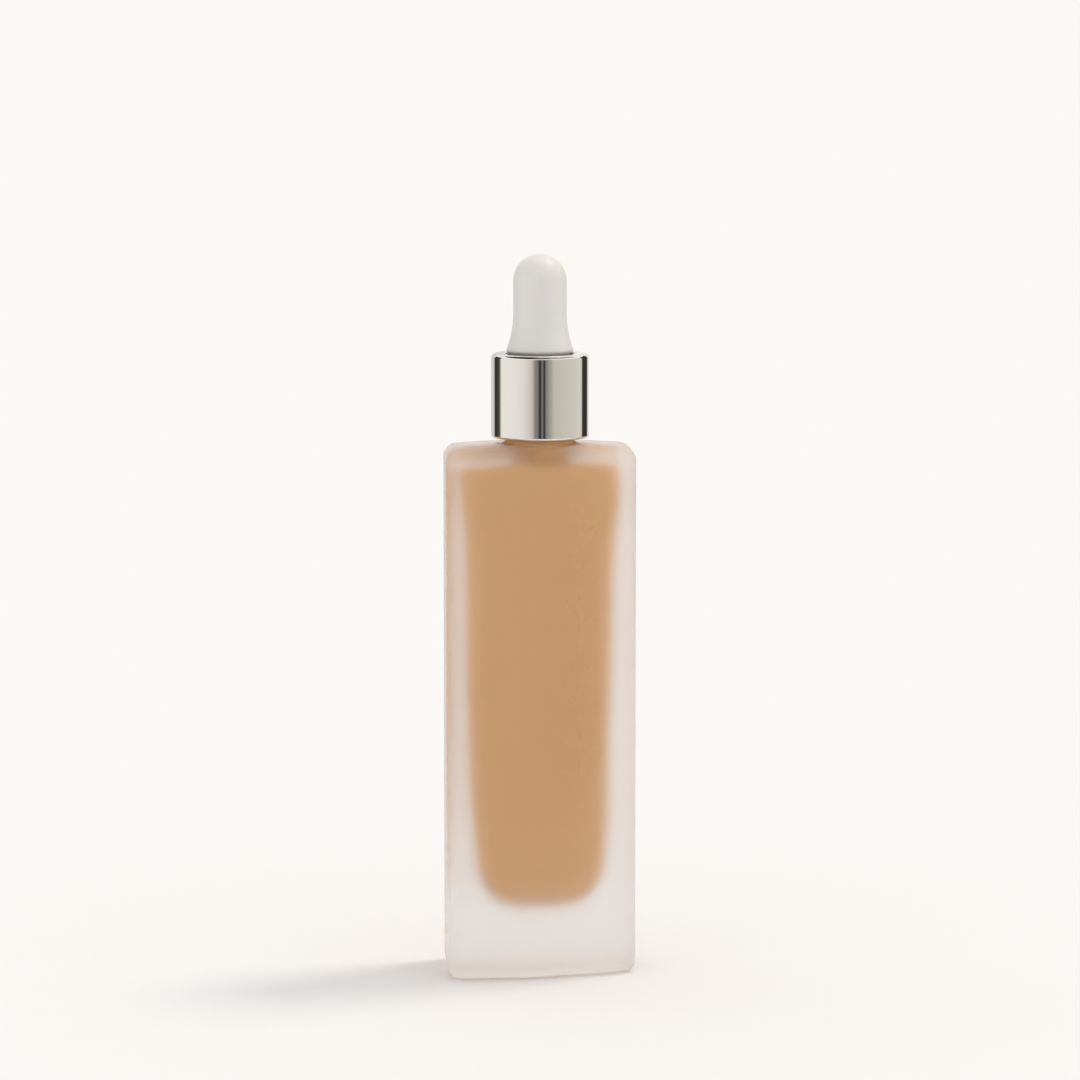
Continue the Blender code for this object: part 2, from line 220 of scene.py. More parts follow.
def placeCamera(setup):
    data = bpy.data.cameras.new("camera")
    data.sensor_width = 36
    data.lens = setup["lens"]
    data.clip_start = 0.05
    data.clip_end = 100
    camera = bpy.data.objects.new("camera", data)
    bpy.context.scene.collection.objects.link(camera)
    turn, pitch = math.radians(setup["azimuth"]), math.radians(setup["pitch"])
    back = Vector((math.sin(turn) * math.cos(pitch), -math.cos(turn) * math.cos(pitch), math.sin(pitch)))
    camera.location = Vector((0, 0, setup["aimHeight"] * mm)) + back * setup["distance"] * mm
    camera.rotation_euler = (-back).to_track_quat("-Z", "Y").to_euler()
    bpy.context.scene.camera = camera
    print("camera at", tuple(round(x, 3) for x in camera.location))


placeCamera(cameraSetup)

studio = {
    "wall": "#FBF8F5",            # warm white all round
    "wallStrength": 1.0,
    "floor": "#E6E8EA",
    "floorSize": 60,              # metres
    "airGap": 0.1,
    "key": "#FFF3E6",
    "keyStrength": 0.9,
    "keySpread": 16,              # degrees
    "keyHeight": 63,
    "keyTurn": 65,                # degrees to the right of straight behind
    "ringRadius": 0.3,            # metres from the collar
    "ringCentre": 0.12,
    "ringSteps": 120,
    "ringRows": 8,
    "bounces": 32,
}
# What the mirror collar sees round it: each band's low and high angle above the collar in degrees,
# then colours at degrees of azimuth from the camera, positive to the right
rings = {
    "roundRing": ((-22, 26), (
        (-180, "#DCDCDC"), (-138, "#DADADA"), (-131, "#33312C"), (-113, "#45433C"), (-108, "#6E6C64"),
        (-102, "#F6F5EA"), (-80, "#F8F4EE"), (-62, "#F6F1ED"), (-40, "#EDE8E4"), (-30, "#E6DFDA"),
        (-22, "#D8CFC9"), (-16, "#C6C0BA"), (-12, "#938E8A"), (-4, "#7E7B79"), (-2, "#38383A"),
        (2, "#3A3A3C"), (4, "#7C7B79"), (7, "#78777A"), (8.5, "#3A3939"), (11, "#3C3B3A"),
        (14, "#8C8A84"), (24, "#ADAA9E"), (33, "#CCC8B9"), (60, "#D4D0C3"), (92, "#DBD6CB"),
        (105, "#E2DCD4"), (113, "#DAD6CC"), (118, "#3A3834"), (143, "#35332F"), (148, "#C8C8C6"),
        (156, "#F2F1EF"), (180, "#F4F3F1"))),
    "overheadRing": ((43, 88), (
        (-180, "#F4F3F1"), (-138, "#E0E0E0"), (-130, "#151413"), (-26, "#1A1918"), (-18, "#5A5958"),
        (30, "#6A6968"), (38, "#A09E98"), (120, "#B0AEA8"), (132, "#F0F0EE"), (180, "#F4F3F1"))),
}


def buildStudio(look, panels):
    scene = bpy.context.scene
    scene.view_settings.view_transform = "Standard"
    # thick glass passes light on many times before it comes out again
    scene.cycles.max_bounces = look["bounces"]
    scene.cycles.transmission_bounces = look["bounces"]
    scene.cycles.glossy_bounces = 8
    scene.cycles.diffuse_bounces = 6
    world = bpy.data.worlds.new("studio")
    scene.world = world
    world.use_nodes = True
    background = world.node_tree.nodes["Background"]
    background.inputs["Color"].default_value = linear(look["wall"])
    background.inputs["Strength"].default_value = look["wallStrength"]

    # pale painted floor with a trace of roller grain
    material, tree, shader, place = newMaterial("matt_floor_paint", {
        "Base Color": linear(look["floor"]), "Roughness": 0.9, "Specular IOR Level": 0.0})
    grain = addNode(tree, "ShaderNodeTexNoise", inputs={"Scale": 400, "Detail": 3}, links={"Vector": place})
    bump = addNode(tree, "ShaderNodeBump", inputs={"Strength": 0.02, "Distance": 0.0005},
                   links={"Height": grain.outputs[0]})
    tree.links.new(bump.outputs[0], shader.inputs["Normal"])
    mesh = bpy.data.meshes.new("floor")
    side = look["floorSize"] / 2
    # a hair below the glass, because only an air gap lets the foot reflect light from within
    down = -look["airGap"] * mm
    mesh.from_pydata([(-side, -side, down), (side, -side, down), (side, side, down), (-side, side, down)],
                     [], [(0, 1, 2, 3)])
    mesh.materials.append(material)
    floor = bpy.data.objects.new("floor", mesh)
    scene.collection.objects.link(floor)

    sun = bpy.data.lights.new("key", "SUN")
    sun.energy = look["keyStrength"]
    sun.angle = math.radians(look["keySpread"])
    sun.color = linear(look["key"])[:3]
    key = bpy.data.objects.new("key", sun)
    scene.collection.objects.link(key)
    rise, turn = math.radians(look["keyHeight"]), math.radians(look["keyTurn"])
    towards = Vector((math.sin(turn) * math.cos(rise), math.cos(turn) * math.cos(rise), math.sin(rise)))
    key.rotation_euler = towards.to_track_quat("Z", "Y").to_euler()

    facing = math.radians(cameraSetup["azimuth"])
    for name, ((low, high), stops) in panels.items():
        glow = bpy.data.materials.new(name)
        glow.use_nodes = True
        tree = glow.node_tree
        tree.nodes.clear()
        spot = addNode(tree, "ShaderNodeSeparateXYZ",
                       links={"Vector": addNode(tree, "ShaderNodeTexCoord").outputs["Object"]})
        around = addNode(tree, "ShaderNodeMath", {"operation": "ARCTAN2"},
                         links={0: spot.outputs["X"], 1: calc(tree, "MULTIPLY", spot.outputs["Y"], -1.0)})
        share = addNode(tree, "ShaderNodeMapRange", inputs={"From Min": -math.pi, "From Max": math.pi},
                        links={"Value": around.outputs[0]})
        ramp = addNode(tree, "ShaderNodeValToRGB", links={"Fac": share.outputs[0]})
        marks = ramp.color_ramp.elements
        marks[0].position, marks[1].position = 0, 1
        for i, (azimuth, colour) in enumerate(stops):
            if 0 < i < len(stops) - 1:
                marks.new((azimuth + 180) / 360)
            marks[i].color = linear(colour)
        light = addNode(tree, "ShaderNodeEmission", links={"Color": ramp.outputs[0]})
        addNode(tree, "ShaderNodeOutputMaterial", links={"Surface": light.outputs[0]})
        # a band of a ball round the collar, from the low to the high angle
        count, rows = look["ringSteps"], look["ringRows"]
        heights = [math.radians(low + (high - low) * i / rows) for i in range(rows + 1)]
        points = [Vector((math.sin(math.tau * i / count) * math.cos(height),
                          -math.cos(math.tau * i / count) * math.cos(height),
                          math.sin(height))) * look["ringRadius"] for height in heights for i in range(count)]
        faces = [(row * count + i, row * count + (i + 1) % count, (row + 1) * count + (i + 1) % count,
                  (row + 1) * count + i) for row in range(rows) for i in range(count)]
        band = bpy.data.meshes.new(name)
        band.from_pydata(points, [], faces)
        band.materials.append(glow)
        ring = bpy.data.objects.new(name, band)
        ring.location.z = look["ringCentre"]
        ring.rotation_euler.z = facing
        scene.collection.objects.link(ring)
        for ray in ("visible_camera", "visible_diffuse", "visible_transmission", "visible_shadow"):
            setattr(ring, ray, False)
    print("studio built with", len(panels), "rings")


buildStudio(studio, rings)

bottle = {
    "halfWidth": glassHigh.x / mm,
    "halfDepth": glassHigh.y / mm,
    "neckTop": glassHigh.z / mm,
    "shoulderTop": 109.4,
    "ridgeX": -3.6,
    "facetAngle": 15,
    "cornerRadius": 2.6,
    "ridgeRadius": 10,
    "heelRadius": 2.4,
    "shoulderRadius": 2.6,
    "shoulderSlope": 4.3,
    "neckRadius": 7.1,
    "neckFillet": 0.8,
    "boreRadius": 5.2,
    "rimRadius": 0.5,
    "leftWall": 3.9,
    "rightWall": 5.3,
    "faceWall": 4.2,
    "cavityFloor": 13.9,
    "cavityCeiling": 105.8,
    "cavityCorner": 4.0,
    "ceilingRadius": 1.5,
    "floorRounding": (0.68, 0.8),
    # height, and how much further than its straight middle the cavity reaches there to the left and the right
    "swell": ((23.5, -2.1, -1.35), (30, -1.4, -0.8), (36, -0.85, -0.6), (46, -0.4, -0.6), (60, 0, 0),
              (80, 0.1, 0.3), (89, 0.25, 0.7), (95, 0.7, 1.5), (99, 1.1, 1.8), (103.4, 1.5, 1.5)),
    "hold": 0.25,
    "facetPitch": 0.33,           # spacing of points, fine where the sprig lies
    "sidePitch": 2.0,
    "backPitch": 3.0,
    "clearAbove": (108.6, 108.8),  # the acid stops at this height beside the neck
    "clearWithin": (8.4, 9.4),
}

sprig = {
    "low": 37.5,
    "high": 94.0,
    "leaves": 13,
    "leafLength": 6.6,
    "leafWidth": 2.6,
    "relief": 1.3,
    "plateau": 0.32,              # the relief is cut flat at this height
    "lean": 40,                   # degrees between stem and leaf
    "stem": 0.45,
    "shrink": 0.42,               # how much smaller the topmost leaf is
}


def bodyOutline(look, left, right, face, corner):
    # seen from above: flat back, flat left front, a soft ridge, and the facet that falls back to the right
    low, high = -look["halfWidth"] + left, look["halfWidth"] - right
    front = -look["halfDepth"] + face
    lean = math.tan(math.radians(look["facetAngle"]))
    ridge = look["ridgeX"] - face * math.tan(math.radians(look["facetAngle"] / 2))
    radius = max(corner, 0.3)
    corners = [(high, -front, radius), (low, -front, radius), (low, front, radius),
               (ridge, front, look["ridgeRadius"]), (high, front + (high - ridge) * lean, radius)]
    runs = roundedLine(corners, 8, look["hold"])
    points = []
    side = look["sidePitch"]
    pitches = (look["backPitch"], side, side, look["facetPitch"], side)
    spans = (38.9, 23.6, 15.8, 23.0, 17.0)  # fixed, so that every outline has as many points as the next
    for run, following, pitch, span in zip(runs, runs[1:] + runs[:1], pitches, spans):
        points += run
        splits = round(span / pitch)
        points += [run[-1].lerp(following[0], i / splits) for i in range(1, splits)]
    return points


def lifted(look, outline, height, crowned=False):
    # mm points at a height, which falls away from the neck if it is crowned
    fall = math.tan(math.radians(look["shoulderSlope"])) if crowned else 0
    return [Vector((p.x, p.y, height - fall * max(p.length - look["neckRadius"], 0))) * mm for p in outline]


def circleLike(outline, radius):
    return [p.normalized() * radius for p in outline]


def outerRings(look):
    rings = []
    heel, shoulder, hold = look["heelRadius"], look["shoulderRadius"], look["hold"]
    for cosine, sine in arc(8):
        inset = heel * (1 - sine)
        edge = bodyOutline(look, inset, inset, inset, look["cornerRadius"] - inset)
        rings.append(lifted(look, edge, heel * (1 - cosine)))
    full = bodyOutline(look, 0, 0, 0, look["cornerRadius"])
    bottom, top = heel + hold, look["shoulderTop"] - shoulder - 2.0
    heights = [bottom]
    while heights[-1] < top - 0.1:
        fine = sprig["low"] - 2 < heights[-1] < sprig["high"] + 5
        heights.append(min(top, heights[-1] + look["facetPitch" if fine else "sidePitch"]))
    rings += [lifted(look, full, height) for height in heights]
    for cosine, sine in arc(8):
        inset = shoulder * (1 - cosine)
        edge = bodyOutline(look, inset, inset, inset, look["cornerRadius"] - inset)
        rings.append(lifted(look, edge, look["shoulderTop"] - shoulder * (1 - sine), True))
    foot = circleLike(edge, look["neckRadius"] + look["neckFillet"])
    for share in (0.03, 0.15, 0.3, 0.45, 0.6, 0.75, 0.9, 0.98):
        rings.append(lifted(look, [a.lerp(b, share) for a, b in zip(edge, foot)], look["shoulderTop"], True))
    for cosine, sine in arc(5):
        ring = circleLike(edge, look["neckRadius"] + look["neckFillet"] * (1 - sine))
        rings.append(lifted(look, ring, look["shoulderTop"] + look["neckFillet"] * (1 - cosine)))
    bottom, top = look["shoulderTop"] + look["neckFillet"], look["neckTop"] - look["rimRadius"]
    count = round((top - bottom) / 0.2)
    wall = circleLike(edge, look["neckRadius"])
    rings += [lifted(look, wall, bottom + (top - bottom) * i / count) for i in range(1, count)]
    for cosine, sine in arc(4):
        ring = circleLike(edge, look["neckRadius"] - look["rimRadius"] * (1 - cosine))
        rings.append(lifted(look, ring, look["neckTop"] - look["rimRadius"] * (1 - sine)))
    return rings


def cavityRings(look, grow=0.0):
    # the cavity's wall from its floor up into the bore; grow presses the liquid into the glass
    rings = []
    firstHeight, *firstSwell = look["swell"][0]

    def swollen(swell, inset=0.0):
        return bodyOutline(look, look["leftWall"] - swell[0] + inset - grow,
                           look["rightWall"] - swell[1] + inset - grow,
                           look["faceWall"] + inset - grow, look["cavityCorner"] - inset + grow)

    lowest = swollen(firstSwell)
    for cosine, sine in arc(12):
        wide = 1 - look["floorRounding"][0] * (1 - sine)
        deep = 1 - look["floorRounding"][1] * (1 - sine)
        height = look["cavityFloor"] - grow * cosine + (firstHeight - look["cavityFloor"]) * (1 - cosine)
        rings.append(lifted(look, [Vector((p.x * wide, p.y * deep)) for p in lowest], height))
    for (low, *lowSwell), (high, *highSwell) in zip(look["swell"], look["swell"][1:]):
        steps = max(2, round((high - low) / 2.5))
        for i in range(1, steps + 1):
            share = i / steps
            swell = [a + (b - a) * share for a, b in zip(lowSwell, highSwell)]
            rings.append(lifted(look, swollen(swell), low + (high - low) * share))
    for cosine, sine in arc(6):
        inset = look["ceilingRadius"] * (1 - cosine)
        edge = swollen(look["swell"][-1][1:], inset)
        height = look["cavityCeiling"] - look["ceilingRadius"] * (1 - sine) + grow
        rings.append(lifted(look, edge, height, True))
    ceiling = look["cavityCeiling"] + grow
    mouth = circleLike(edge, look["boreRadius"] + grow + look["neckFillet"])
    for share in (0.25, 0.5, 0.75):
        rings.append(lifted(look, [a.lerp(b, share) for a, b in zip(edge, mouth)], ceiling, True))
    for cosine, sine in arc(4):
        ring = circleLike(edge, look["boreRadius"] + grow + look["neckFillet"] * (1 - sine))
        rings.append(lifted(look, ring, ceiling + look["neckFillet"] * (1 - cosine)))
    return rings


def nodeTree(name, sizes):
    # a Geometry Nodes tree with named float inputs and a geometry output
    tree = bpy.data.node_groups.new(name, "GeometryNodeTree")
    tree.is_modifier = True
    for label, value in sizes.items():
        socket = tree.interface.new_socket(label, in_out="INPUT", socket_type="NodeSocketFloat")
        socket.default_value = value
    tree.interface.new_socket("Geometry", in_out="OUTPUT", socket_type="NodeSocketGeometry")
    return tree, addNode(tree, "NodeGroupInput").outputs


def grownMesh(name, tree, sizes, geometry, material):
    # ends the tree, sets its inputs by identifier, and returns the plain mesh that it makes
    real = addNode(tree, "GeometryNodeRealizeInstances", links={"Geometry": geometry})
    painted = addNode(tree, "GeometryNodeSetMaterial", inputs={"Material": material},
                      links={"Geometry": real.outputs[0]})
    addNode(tree, "NodeGroupOutput", links={"Geometry": painted.outputs[0]})
    holder = bpy.data.objects.new(name, bpy.data.meshes.new(name))
    bpy.context.scene.collection.objects.link(holder)
    modifier = holder.modifiers.new(name, "NODES")
    modifier.node_group = tree
    for socket in tree.interface.items_tree:
        if socket.in_out == "INPUT":
            modifier[socket.identifier] = float(sizes[socket.name])
    graph = bpy.context.evaluated_depsgraph_get()
    mesh = bpy.data.meshes.new_from_object(holder.evaluated_get(graph))
    mesh.name = name
    bpy.data.objects.remove(holder)
    return mesh


def threadSizes(screw, radius, height, lift):
    # half of the section stands proud of a wall at this radius; a negative height faces the axis
    base = 2 * screw["rootWidth"] - screw["crestWidth"]
    return {"turns": screw["turns"], "radius": radius * mm, "rise": screw["turns"] * screw["pitch"] * mm,
            "depth": 2 * abs(height) * mm, "baseWidth": base * mm, "crestWidth": screw["crestWidth"] * mm,
            "bottom": (screw["bottom"] + lift) * mm, "facing": math.copysign(math.pi / 2, -height)}


def helixMesh(name, sizes, material):
    # a screw thread: a spiral with a trapezoid swept along it, which shrinks into the wall at both ends
    tree, given = nodeTree(name, sizes)
    spiral = addNode(tree, "GeometryNodeCurveSpiral", inputs={"Resolution": 96, "Reverse": True},
                     links={"Rotations": given["turns"], "Start Radius": given["radius"],
                            "End Radius": given["radius"], "Height": given["rise"]})
    upright = addNode(tree, "GeometryNodeSetCurveNormal", {"mode": "Z_UP"},
                      links={"Curve": spiral.outputs[0]})
    along = addNode(tree, "GeometryNodeSplineParameter").outputs["Factor"]
    # distance from the nearer end, as a share of the run-out
    near = calc(tree, "MINIMUM", along, calc(tree, "SUBTRACT", 1.0, along))
    swell = calc(tree, "MINIMUM", 1.0, calc(tree, "ADD", calc(tree, "MULTIPLY", near, 14.0), 0.02))
    ridge = addNode(tree, "GeometryNodeCurvePrimitiveQuadrilateral", {"mode": "TRAPEZOID"},
                    inputs={"Offset": 0.0},
                    links={"Height": given["depth"], "Bottom Width": given["baseWidth"],
                           "Top Width": given["crestWidth"]})
    spin = addNode(tree, "ShaderNodeCombineXYZ", links={"Z": given["facing"]})
    turned = addNode(tree, "GeometryNodeTransform",
                     links={"Geometry": ridge.outputs[0], "Rotation": spin.outputs[0]})
    swept = addNode(tree, "GeometryNodeCurveToMesh", inputs={"Fill Caps": True},
                    links={"Curve": upright.outputs[0], "Profile Curve": turned.outputs[0], "Scale": swell})
    raised = addNode(tree, "ShaderNodeCombineXYZ", links={"Z": given["bottom"]})
    moved = addNode(tree, "GeometryNodeTransform",
                    links={"Geometry": swept.outputs[0], "Translation": raised.outputs[0]})
    return grownMesh(name, tree, sizes, moved.outputs[0], material)


def drape(rings, solid, low, high, outward, cap=2.0):
    # pulls the points between two heights to the skin of a solid that stands proud of them, up to cap mm,
    # and notes how far each one moved
    tree = BVHTree.FromPolygons([v.co for v in solid.vertices], [tuple(p.vertices) for p in solid.polygons])
    marks = {}
    for ring in rings:
        if not low * mm < ring[0].z < high * mm:
            continue
        for i, point in enumerate(ring):
            away = outward(point)
            if away is None:
                continue
            reach = 2 * mm
            hit = tree.ray_cast(point + away * reach, -away, reach)
            if hit[0] is not None and hit[3] < reach - 0.004 * mm:
                height = min(reach - hit[3], cap * mm)
                ring[i] = point + away * height
                marks[id(ring[i])] = height / mm
    return marks


neckThread = {
    "turns": 1.5,
    "pitch": 3.175,
    "bottom": 113.0,
    "height": 0.8,
    "rootWidth": 1.6,
    "crestWidth": 0.8,
}


def sprigMesh(look, shape, material):
    # a plain sprig: a stem with leaves by turns to its left and right, laid on the facet
    sizes = {"length": (look["high"] - look["low"]) * mm, "leaves": look["leaves"],
             "leafLength": look["leafLength"] * mm, "leafWidth": look["leafWidth"] * mm,
             "relief": look["relief"] * mm, "lean": math.radians(look["lean"]), "stem": look["stem"] * mm,
             "shrink": look["shrink"]}
    tree, given = nodeTree("sprig", sizes)
    top = addNode(tree, "ShaderNodeCombineXYZ", links={"Z": given["length"]})
    line = addNode(tree, "GeometryNodeCurvePrimitiveLine", links={"End": top.outputs[0]})
    # leaves: one flat ellipsoid with its base at the stem
    ball = addNode(tree, "GeometryNodeMeshUVSphere", inputs={"Segments": 20, "Rings": 14, "Radius": 1.0})
    half = [calc(tree, "MULTIPLY", given[key], 0.5) for key in ("leafWidth", "leafLength")]
    size = addNode(tree, "ShaderNodeCombineXYZ", links={"X": half[0], "Y": given["relief"], "Z": half[1]})
    shift = addNode(tree, "ShaderNodeCombineXYZ", links={"Z": half[1]})
    leaf = addNode(tree, "GeometryNodeTransform", links={
        "Geometry": ball.outputs[0], "Scale": size.outputs[0], "Translation": shift.outputs[0]})
    points = addNode(tree, "GeometryNodeResampleCurve", {"mode": "COUNT"}, links={
        "Curve": line.outputs[0], "Count": given["leaves"]})
    index = addNode(tree, "GeometryNodeInputIndex").outputs[0]
    side = calc(tree, "SUBTRACT", calc(tree, "MULTIPLY", calc(tree, "MODULO", index, 2.0), 2.0), 1.0)
    lean = addNode(tree, "ShaderNodeCombineXYZ", links={"Y": calc(tree, "MULTIPLY", side, given["lean"])})
    # leaves grow smaller towards the tip
    last = calc(tree, "SUBTRACT", given["leaves"], 1.0)
    taper = calc(tree, "SUBTRACT", 1.0, calc(tree, "MULTIPLY", calc(tree, "DIVIDE", index, last),
                                             given["shrink"]))
    even = addNode(tree, "ShaderNodeCombineXYZ", links={"X": taper, "Z": taper}, inputs={"Y": 1.0})
    leaves = addNode(tree, "GeometryNodeInstanceOnPoints", links={
        "Points": points.outputs[0], "Instance": leaf.outputs[0], "Rotation": lean.outputs[0],
        "Scale": even.outputs[0]})
    disc = addNode(tree, "GeometryNodeCurvePrimitiveCircle", {"mode": "RADIUS"}, inputs={"Resolution": 12},
                   links={"Radius": given["stem"]})
    stem = addNode(tree, "GeometryNodeCurveToMesh", inputs={"Fill Caps": True},
                   links={"Curve": line.outputs[0], "Profile Curve": disc.outputs[0]})
    both = addNode(tree, "GeometryNodeJoinGeometry")
    tree.links.new(leaves.outputs[0], both.inputs[0])
    tree.links.new(stem.outputs[0], both.inputs[0])
    # the facet's middle, halfway from the ridge to its far edge
    angle = math.radians(shape["facetAngle"])
    across = (shape["halfWidth"] - shape["ridgeX"]) / 2
    x, y = shape["ridgeX"] + across, -shape["halfDepth"] + across * math.tan(angle)
    laid = addNode(tree, "GeometryNodeTransform", links={"Geometry": both.outputs[0]},
                   inputs={"Translation": (x * mm, y * mm, look["low"] * mm), "Rotation": (0, 0, angle)})
    return grownMesh("sprig", tree, sizes, laid.outputs[0], material)


def etchedGlass():
    # flint glass, moulded and then acid etched outside: a milky satin skin that blurs what is deep behind it
    material, tree, shader, place = newMaterial("acid_etched_flint_glass", {
        "Base Color": linear("#EEEDED"), "Transmission Weight": 1.0, "IOR": 1.52})
    # the etch is a 0.02 mm frost; drawn at 0.25 mm so that it shows as a faint sparkle
    frost = addNode(tree, "ShaderNodeTexNoise", inputs={"Scale": 1 / (0.25 * mm), "Detail": 2},
                    links={"Vector": place})
    # the neck is masked in the acid bath and stays clear
    spot = addNode(tree, "ShaderNodeSeparateXYZ", links={"Vector": place})
    flat = addNode(tree, "ShaderNodeCombineXYZ", links={"X": spot.outputs["X"], "Y": spot.outputs["Y"]})
    apart = addNode(tree, "ShaderNodeVectorMath", {"operation": "LENGTH"}, links={0: flat.outputs[0]})
    low, high = bottle["clearAbove"]
    near, far = bottle["clearWithin"]
    below = addNode(tree, "ShaderNodeMapRange", inputs={"From Min": high * mm, "From Max": low * mm},
                    links={"Value": spot.outputs["Z"]})
    beside = addNode(tree, "ShaderNodeMapRange", inputs={"From Min": near * mm, "From Max": far * mm},
                     links={"Value": apart.outputs["Value"]})
    etched = calc(tree, "MAXIMUM", below.outputs[0], beside.outputs[0])
    # acid runs leave cloudy patches about 12 mm across
    cloud = addNode(tree, "ShaderNodeTexNoise", inputs={"Scale": 1 / (12 * mm), "Detail": 1},
                    links={"Vector": place})
    rough = addNode(tree, "ShaderNodeMapRange", inputs={"To Min": 0.68, "To Max": 0.76},
                    links={"Value": cloud.outputs[0]})
    # the raised leaves are rubbed a little smoother than the ground round them
    height = addNode(tree, "ShaderNodeAttribute", {"attribute_name": "raised"}).outputs["Fac"]
    rubbed = addNode(tree, "ShaderNodeMapRange", inputs={"From Max": 0.3, "To Max": 0.22},
                     links={"Value": height})
    satin = calc(tree, "SUBTRACT", rough.outputs[0], rubbed.outputs[0])
    finish = addNode(tree, "ShaderNodeMix", {"data_type": "FLOAT"}, inputs={2: 0.12},
                     links={"Factor": etched, 3: satin})
    tree.links.new(finish.outputs[0], shader.inputs["Roughness"])
    bump = addNode(tree, "ShaderNodeBump", inputs={"Strength": 0.08, "Distance": 0.02 * mm},
                   links={"Height": frost.outputs[0]})
    tree.links.new(bump.outputs[0], shader.inputs["Normal"])
    return material


def buildBottle():
    glass = etchedGlass()
    outside = outerRings(bottle)
    leaf = sprigMesh(sprig, bottle, glass)
    angle = math.radians(bottle["facetAngle"])
    facing = Vector((math.sin(angle), -math.cos(angle), 0))
    onFacet = Vector((bottle["ridgeX"], -bottle["halfDepth"], 0)) * mm

    def fromFacet(point):
        return facing if abs((point - onFacet).dot(facing)) < 0.01 * mm and point.x > onFacet.x else None

    raised = drape(outside, leaf, sprig["low"] - 3, sprig["high"] + 6, fromFacet, sprig["plateau"])
    print("sprig raises", len(raised), "points")
    sizes = threadSizes(neckThread, bottle["neckRadius"], neckThread["height"], 0)
    helix = helixMesh("neck_thread", sizes, glass)

    def fromNeck(point):
        return Vector((point.x, point.y, 0)).normalized()

    low = bottle["shoulderTop"] + bottle["neckFillet"]
    drape(outside, helix, low, bottle["neckTop"] - bottle["rimRadius"], fromNeck)
    rings = outside
    edge = [Vector(p[:2]) / mm for p in outside[-1]]
    for cosine, sine in arc(4):
        ring = circleLike(edge, bottle["boreRadius"] + bottle["rimRadius"] * (1 - sine))
        rings.append(lifted(bottle, ring, bottle["neckTop"] - bottle["rimRadius"] * (1 - cosine)))
    rings += reversed(cavityRings(bottle))
    obj = meshObject("frosted_glass_bottle", loftSkin(rings, raised), glass)
    finishPiece(obj, "bottle", "glass_bottle")


buildBottle()

fill = {
    "press": 0.05,                # the liquid reaches this far into the glass, so that no air shows between
    "level": fillHigh.z / mm,
    "channel": 3.4,
    "channelFloor": 16.8,
    "skin": "#E6BA86",
    "deep": "#DFB07B",
}


def foundationLiquid(name="pigmented_foundation_emulsion"):
    # liquid foundation, pigment milled into a thick emulsion: smooth, opaque, faintly streaked by filling
    material, tree, shader, place = newMaterial(name, {"Roughness": 0.35, "IOR": 1.4})
    flow = addNode(tree, "ShaderNodeMapping", inputs={"Scale": (1.0, 1.0, 0.3)}, links={"Vector": place})
    streak = addNode(tree, "ShaderNodeTexNoise", links={"Vector": flow.outputs[0]},
                     inputs={"Scale": 1 / (9 * mm), "Detail": 3, "Distortion": 0.6})
    blend = addNode(tree, "ShaderNodeMix", {"data_type": "RGBA"}, links={"Factor": streak.outputs[0]})
    blend.inputs[6].default_value = linear(fill["deep"])
    blend.inputs[7].default_value = linear(fill["skin"])
    tree.links.new(blend.outputs[2], shader.inputs["Base Color"])
    return material


def buildFill():
    rings = cavityRings(bottle, fill["press"])
    edge = [Vector(p[:2]) / mm for p in rings[-1]]
    for radius, height in ((bottle["boreRadius"] + fill["press"], fill["level"]),
                           (fill["channel"] + 0.3, fill["level"]), (fill["channel"], fill["level"] - 0.3),
                           (fill["channel"], fill["channelFloor"])):
        rings.append(lifted(bottle, circleLike(edge, radius), height))
    obj = meshObject("foundation_liquid", loftSkin(rings), foundationLiquid())
    finishPiece(obj, "bottle", "foundation_fill")


buildFill()

collar = {
    "radius": collarHigh.x / mm,
    "bottom": collarLow.z / mm,
    "top": collarHigh.z / mm,
    "wall": 0.45,
    "hole": 7.15,
    "rimRadius": 0.95,
    "hemRadius": 0.5,
    "hemWidth": 0.8,              # the lower edge is folded inwards
    "hemHeight": 0.7,
    "hemSlope": 0.4,
    "steps": 160,
}


def mirrorPlating():
    # drawn steel cup, bright nickel-chrome plated: a mirror with faint drawing lines round it
    material, tree, shader, place = newMaterial("bright_chrome_plating", {
        "Base Color": linear("#EBEAE8"), "Metallic": 1.0})
    # fine lines run round the cup, 0.3 mm apart, and handling haze lies in 4 mm patches
    stretch = addNode(tree, "ShaderNodeMapping", inputs={"Scale": (0.02, 0.02, 1.0)}, links={"Vector": place})
    lines = addNode(tree, "ShaderNodeTexNoise", inputs={"Scale": 1 / (0.3 * mm), "Detail": 2},
                    links={"Vector": stretch.outputs[0]})
    haze = addNode(tree, "ShaderNodeTexNoise", inputs={"Scale": 1 / (4 * mm), "Detail": 4},
                   links={"Vector": place})
    rough = addNode(tree, "ShaderNodeMapRange", inputs={"To Min": 0.02, "To Max": 0.07},
                    links={"Value": haze.outputs[0]})
    tree.links.new(rough.outputs[0], shader.inputs["Roughness"])
    bump = addNode(tree, "ShaderNodeBump", inputs={"Strength": 0.03, "Distance": 0.01 * mm},
                   links={"Height": lines.outputs[0]})
    tree.links.new(bump.outputs[0], shader.inputs["Normal"])
    return material


def buildCollar():
    look = collar
    inner = look["radius"] - look["wall"]
    under = look["top"] - look["wall"]
    hem = look["radius"] - look["hemWidth"]
    hemTop = look["bottom"] + look["hemHeight"]
    # each corner is its radius from the axis, its height, and its rounding
    profile = turnedProfile([
        (look["hole"], under, 0.1), (look["hole"], look["top"], 0.18),
        (look["radius"], look["top"], look["rimRadius"]), (look["radius"], look["bottom"], look["hemRadius"]),
        (hem, look["bottom"], 0.25), (hem, hemTop, 0.1), (inner, hemTop + look["hemSlope"], 0.1),
        (inner, under, 0.3)], steps=6)
    obj = meshObject("mirror_collar", turnedSkin(profile, look["steps"]), mirrorPlating(), 60)
    finishPiece(obj, "collar", "collar_shell")


buildCollar()

